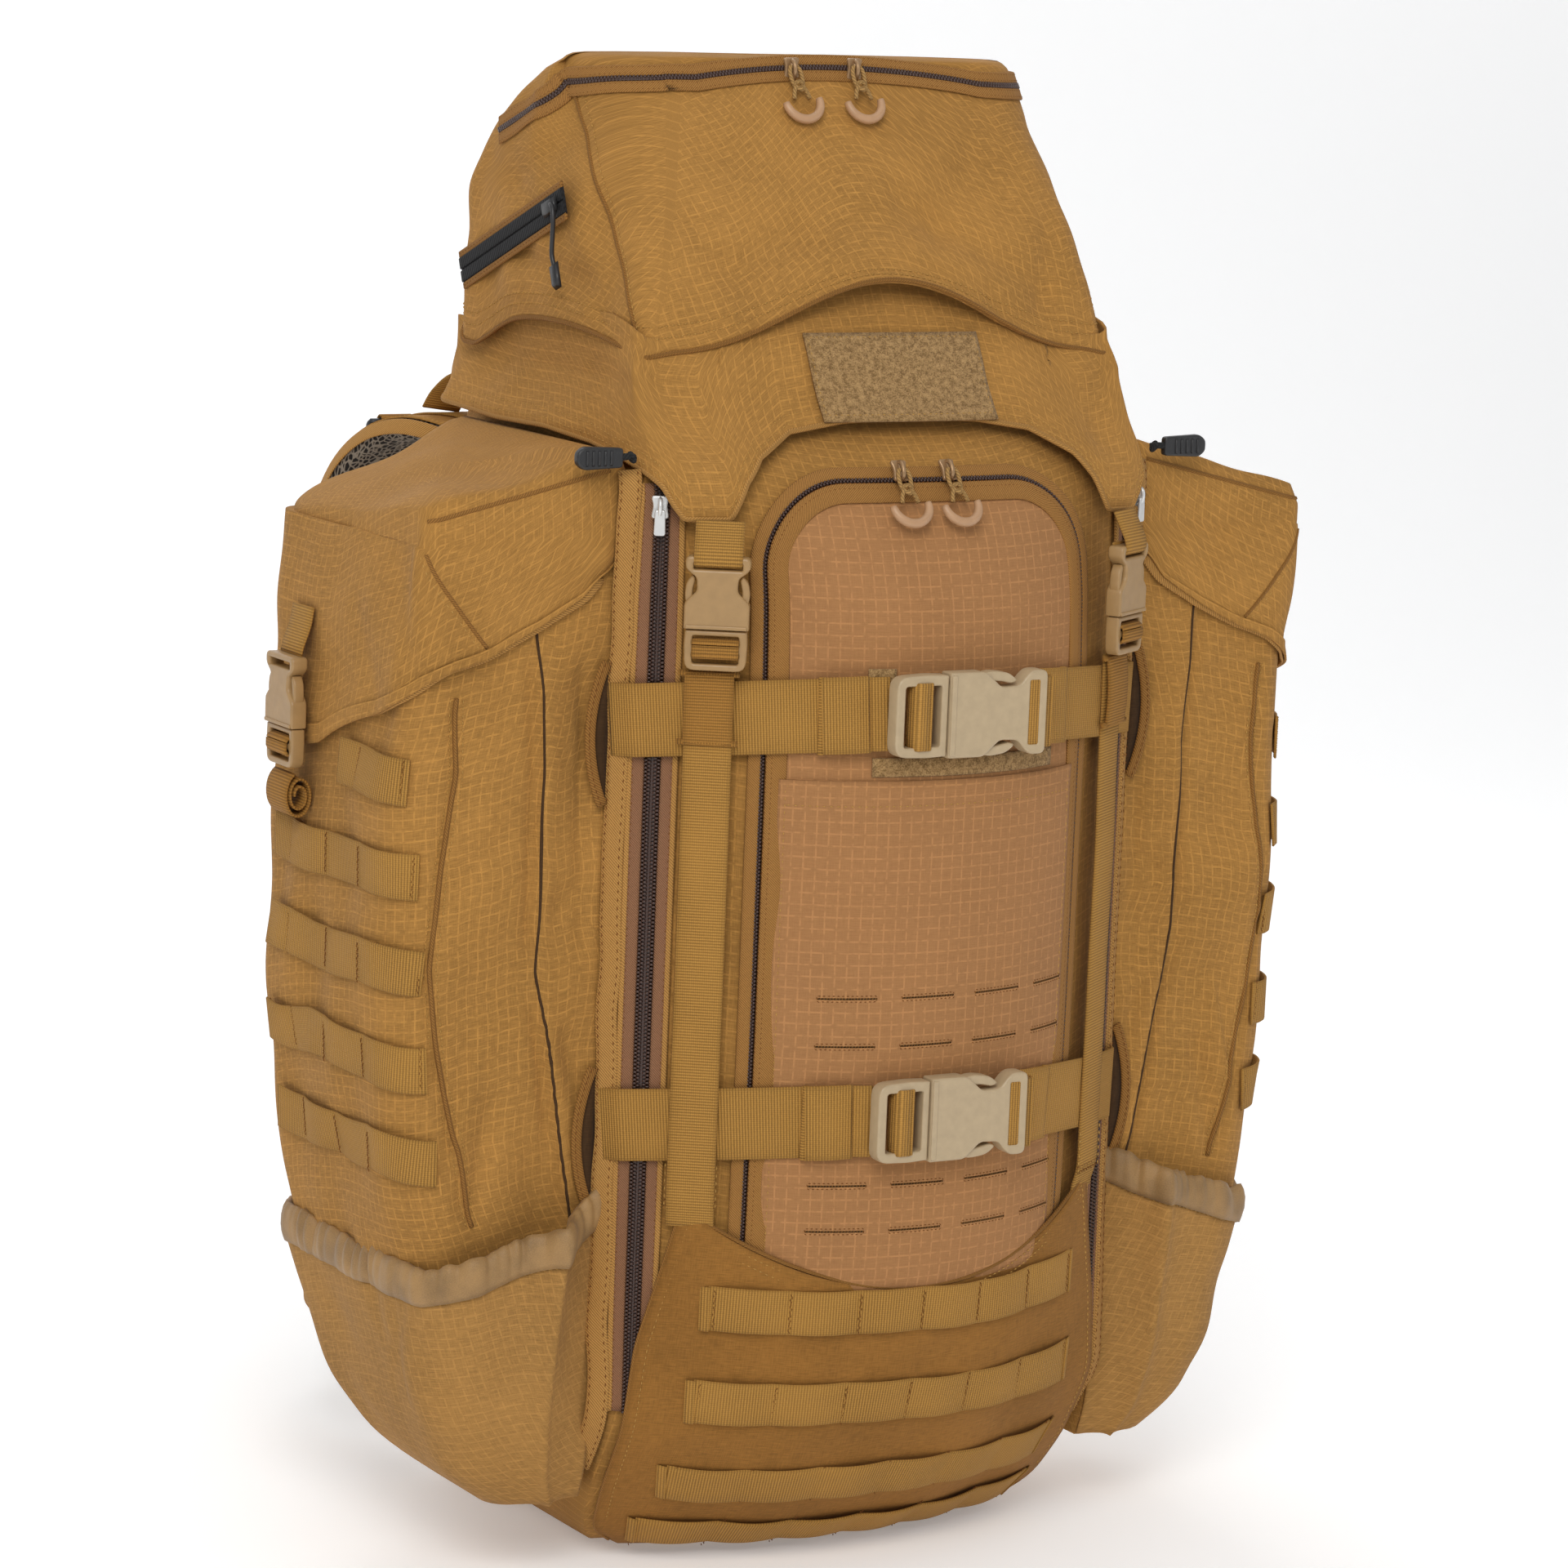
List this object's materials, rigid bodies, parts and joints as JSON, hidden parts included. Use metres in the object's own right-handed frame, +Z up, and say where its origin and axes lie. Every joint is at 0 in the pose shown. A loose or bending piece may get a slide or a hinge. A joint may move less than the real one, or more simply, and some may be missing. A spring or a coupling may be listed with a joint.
{
  "type": "hunting backpack",
  "caption": "Large frame backpack with a floating lid over a storm hood, a zipped front panel, two side pods, compression straps and a padded harness.",
  "frame": {"origin": "middle of the flat base, on the ground, in the plane of symmetry", "axes": "+Z up, the front of the bag faces -Y, the wearer's back is on the +Y side, +X is to the right seen from the front"},
  "size_m": [0.573, 0.5482, 0.7905],
  "materials": {
    "pack_cloth": "ripstop weave, coyote brown",
    "panel_cloth": "light ripstop, pinkish tan",
    "elastic_cloth": "gathered pack cloth, olive tan",
    "spacer_mesh": "open spacer mesh over foam",
    "webbing": "ribbed woven webbing",
    "zip_coil": "coil zip on tape",
    "loop_field": "loop pile",
    "buckle_plastic": "moulded, fine texture",
    "slider_metal": "painted die casting",
    "pull_plastic": "moulded over cord",
    "black_plastic": "moulded, black",
    "ring_metal": "black coated wire",
    "frame_plastic": "plain sheet",
    "stay_metal": "plain bar"
  },
  "bodies": {
    "bag": {"main_bag": "pack_cloth", "front_panel": "panel_cloth", "front_zip": "zip_coil", "side_zips": "zip_coil", "bottom_bucket": "pack_cloth", "bucket_pals": "webbing", "vertical_straps": "webbing", "compression_straps": "webbing", "compression_buckle_females": "buckle_plastic", "pod_left": "pack_cloth", "pod_right": "pack_cloth", "pod_flap_left": "pack_cloth", "pod_flap_right": "pack_cloth", "pod_pals": "webbing", "stretch_pocket_left": "elastic_cloth", "stretch_pocket_right": "elastic_cloth", "pod_buckle_females": "buckle_plastic", "frame_sheet": "frame_plastic", "frame_stays": "stay_metal", "back_panel": "pack_cloth", "back_pads": "spacer_mesh", "lumbar_pad": "spacer_mesh", "shoulder_strap_left": "pack_cloth", "shoulder_strap_right": "pack_cloth", "load_lifters": "webbing", "shoulder_webbing": "webbing"},
    "hood": {"hood": "pack_cloth", "hood_patch": "loop_field", "front_buckle_females": "buckle_plastic"},
    "lid": {"lid": "pack_cloth", "lid_zip": "zip_coil", "lid_side_zip": "zip_coil"},
    "sternum_strap": {"sternum_strap": "buckle_plastic"},
    "sternum_male": {"sternum_male": "buckle_plastic"},
    "hip_wing_left": {"hip_wing_left": "pack_cloth", "hip_buckle_male": "buckle_plastic"},
    "hip_wing_right": {"hip_wing_right": "pack_cloth", "hip_buckle_female": "buckle_plastic"},
    "haul_handle": {"haul_handle": "webbing"},
    "front_male_left": {"front_male_left": "buckle_plastic"},
    "front_male_right": {"front_male_right": "buckle_plastic"},
    "pod_male_left": {"pod_male_left": "buckle_plastic"},
    "pod_male_right": {"pod_male_right": "buckle_plastic"},
    "side_slider_left": {"side_slider_left": "slider_metal"},
    "side_slider_right": {"side_slider_right": "slider_metal"},
    "front_slider_left": {"front_slider_left": "slider_metal"},
    "front_slider_right": {"front_slider_right": "slider_metal"},
    "front_pull_left": {"front_pull_left": "pull_plastic"},
    "front_pull_right": {"front_pull_right": "pull_plastic"},
    "lid_slider_left": {"lid_slider_left": "slider_metal"},
    "lid_slider_right": {"lid_slider_right": "slider_metal"},
    "lid_pull_left": {"lid_pull_left": "pull_plastic"},
    "lid_pull_right": {"lid_pull_right": "pull_plastic"},
    "corner_pull_left": {"corner_pull_left": "black_plastic"},
    "corner_pull_right": {"corner_pull_right": "black_plastic"},
    "d_ring_left": {"d_ring_left": "ring_metal"},
    "d_ring_right": {"d_ring_right": "ring_metal"},
    "compression_male_upper": {"compression_male_upper": "buckle_plastic"},
    "compression_male_lower": {"compression_male_lower": "buckle_plastic"},
    "lid_side_slider": {"lid_side_slider": "black_plastic"}
  },
  "joints": [
    {"name": "hood_lift", "type": "slide", "parent": "bag", "child": "hood", "axis": [0, 0, 1], "range_m": [0, 0.09]},
    {"name": "lid_hinge", "type": "hinge", "parent": "hood", "child": "lid", "pos_m": [0, 0.056, 0.642], "axis": [-1, 0, 0], "range_deg": [0, 80]},
    {"name": "front_buckle_left", "type": "slide", "parent": "bag", "child": "front_male_left", "axis": [0, 0, -1], "range_m": [0, 0.03]},
    {"name": "front_buckle_right", "type": "slide", "parent": "bag", "child": "front_male_right", "axis": [0, 0, -1], "range_m": [0, 0.03]},
    {"name": "compression_buckle_upper", "type": "slide", "parent": "bag", "child": "compression_male_upper", "axis": [-1, 0, 0], "range_m": [0, 0.034]},
    {"name": "compression_buckle_lower", "type": "slide", "parent": "bag", "child": "compression_male_lower", "axis": [-1, 0, 0], "range_m": [0, 0.034]},
    {"name": "pod_buckle_left", "type": "slide", "parent": "bag", "child": "pod_male_left", "axis": [0, 0, -1], "range_m": [0, 0.03]},
    {"name": "side_zip_left", "type": "slide", "parent": "bag", "child": "side_slider_left", "axis": [0, 0, -1], "range_m": [0, 0.07]},
    {"name": "pod_buckle_right", "type": "slide", "parent": "bag", "child": "pod_male_right", "axis": [0, 0, -1], "range_m": [0, 0.03]},
    {"name": "side_zip_right", "type": "slide", "parent": "bag", "child": "side_slider_right", "axis": [0, 0, -1], "range_m": [0, 0.07]},
    {"name": "front_zip_left", "type": "hinge", "parent": "bag", "child": "front_slider_left", "pos_m": [0, 0.14498, 0.582], "axis": [0, 0, 1], "range_deg": [-4.42, 0.34]},
    {"name": "front_pull_left", "type": "hinge", "parent": "front_slider_left", "child": "front_pull_left", "pos_m": [-0.01952, -0.20197, 0.58677], "axis": [-0.9984, 0.0562, 0], "range_deg": [0, 110]},
    {"name": "front_zip_right", "type": "hinge", "parent": "bag", "child": "front_slider_right", "pos_m": [0, 0.14498, 0.582], "axis": [0, 0, 1], "range_deg": [-0.25, 6.12]},
    {"name": "front_pull_right", "type": "hinge", "parent": "front_slider_right", "child": "front_pull_right", "pos_m": [0.00924, -0.20239, 0.58677], "axis": [-0.9996, -0.0266, 0], "range_deg": [0, 110]},
    {"name": "lid_zip_left", "type": "hinge", "parent": "lid", "child": "lid_slider_left", "pos_m": [0, -0.0776, 0.039], "axis": [0, 1, 0], "range_deg": [-6.26, 0.77]},
    {"name": "lid_pull_left", "type": "hinge", "parent": "lid_slider_left", "child": "lid_pull_left", "pos_m": [-0.02397, -0.0819, 0.78261], "axis": [-0.9995, 0, -0.0322], "range_deg": [0, 140]},
    {"name": "lid_zip_right", "type": "hinge", "parent": "lid", "child": "lid_slider_right", "pos_m": [0, -0.0776, 0.039], "axis": [0, 1, 0], "range_deg": [-0.77, 7.03]},
    {"name": "lid_pull_right", "type": "hinge", "parent": "lid_slider_right", "child": "lid_pull_right", "pos_m": [0.01398, -0.0819, 0.78287], "axis": [-0.9998, 0, 0.0188], "range_deg": [0, 140]},
    {"name": "lid_side_zip", "type": "slide", "parent": "lid", "child": "lid_side_slider", "axis": [0, 0.9285, -0.3714], "range_m": [0, 0.098]},
    {"name": "corner_pull_left", "type": "hinge", "parent": "bag", "child": "corner_pull_left", "pos_m": [-0.157, -0.166, 0.592], "axis": [0, -1, 0], "range_deg": [0, 88]},
    {"name": "corner_pull_right", "type": "hinge", "parent": "bag", "child": "corner_pull_right", "pos_m": [0.157, -0.166, 0.592], "axis": [0, 1, 0], "range_deg": [0, 88]},
    {"name": "sternum_height", "type": "slide", "parent": "bag", "child": "sternum_strap", "axis": [0, 0, 1], "range_m": [-0.03, 0.03]},
    {"name": "sternum_buckle", "type": "slide", "parent": "sternum_strap", "child": "sternum_male", "axis": [-1, 0, 0], "range_m": [0, 0.018]},
    {"name": "hip_wing_left", "type": "hinge", "parent": "bag", "child": "hip_wing_left", "pos_m": [-0.118, 0.099, 0.1], "axis": [0, 0, 1], "range_deg": [-8, 40]},
    {"name": "hip_wing_right", "type": "hinge", "parent": "bag", "child": "hip_wing_right", "pos_m": [0.118, 0.099, 0.1], "axis": [0, 0, -1], "range_deg": [-8, 40]},
    {"name": "handle_swing", "type": "hinge", "parent": "bag", "child": "haul_handle", "pos_m": [0, 0.079, 0.584], "axis": [1, 0, 0], "range_deg": [0, 170]},
    {"name": "ring_swing_left", "type": "hinge", "parent": "bag", "child": "d_ring_left", "pos_m": [-0.112, 0.201, 0.57], "axis": [1, 0, 0], "range_deg": [0, 120]},
    {"name": "ring_swing_right", "type": "hinge", "parent": "bag", "child": "d_ring_right", "pos_m": [0.112, 0.201, 0.57], "axis": [1, 0, 0], "range_deg": [0, 120]}
  ]
}
